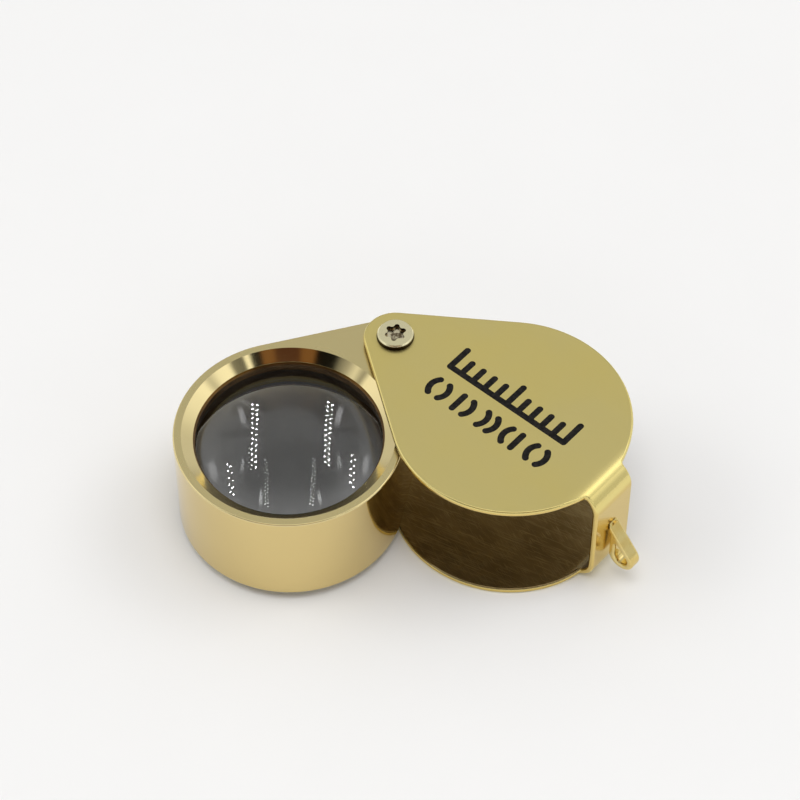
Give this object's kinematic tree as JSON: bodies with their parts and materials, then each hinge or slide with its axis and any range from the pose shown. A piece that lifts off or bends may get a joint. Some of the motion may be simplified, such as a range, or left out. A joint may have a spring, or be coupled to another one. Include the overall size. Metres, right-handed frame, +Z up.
{
  "type": "folding hand lens",
  "caption": "Folding hand lens: a thick glass triplet in a drop-shaped brass frame that swings out of a U-folded sheet cover, with a swivelling lanyard loop.",
  "frame": {"origin": "centre of the bounding box in plan, at the underside of the cover, with the lens standing open by 92 degrees", "axes": "+Z up through the cover's plates, along the pivot; +X from the lens arm towards the cover arm; both arms point towards -Y at 46 degrees from it"},
  "size_m": [0.051, 0.029, 0.0159],
  "materials": {
    "satin_gold": "gold-plated brass sheet, fine brushed satin with bright rolled edges",
    "polished_gold": "gold-plated brass, polished",
    "bronze": "turned and browned",
    "spring_steel": "bright spring steel",
    "bearing_plastic": "plain white bearing plastic",
    "black_metal": "matt black inside and out",
    "black_enamel": "black fill in engraved strokes",
    "crown_glass": "polished optical glass",
    "flint_glass": "polished optical glass"
  },
  "bodies": {
    "cover_body": {"cover": "satin_gold", "pivot_post": "polished_gold", "pivot_screw": "polished_gold", "upper_washer": "bearing_plastic", "spring_washer": "spring_steel", "marking_enamel": "black_enamel"},
    "lens_body": {"lens_frame": "polished_gold", "front_seat_ring": "bronze", "lens_cell": "black_metal", "rear_retaining_ring": "bronze", "front_lens": "flint_glass", "middle_lens": "crown_glass", "rear_lens": "flint_glass"},
    "loop_body": {"lanyard_loop": "polished_gold"}
  },
  "joints": [
    {"name": "lens_swing", "type": "hinge", "parent": "cover_body", "child": "lens_body", "pos_m": [-0.00032, 0.0107, 0.0076], "axis": [0, 0, 1], "continuous": true},
    {"name": "loop_swivel", "type": "hinge", "parent": "cover_body", "child": "loop_body", "pos_m": [0.02249, -0.01132, 0.00822], "axis": [0.7193, -0.6947, 0], "continuous": true}
  ]
}
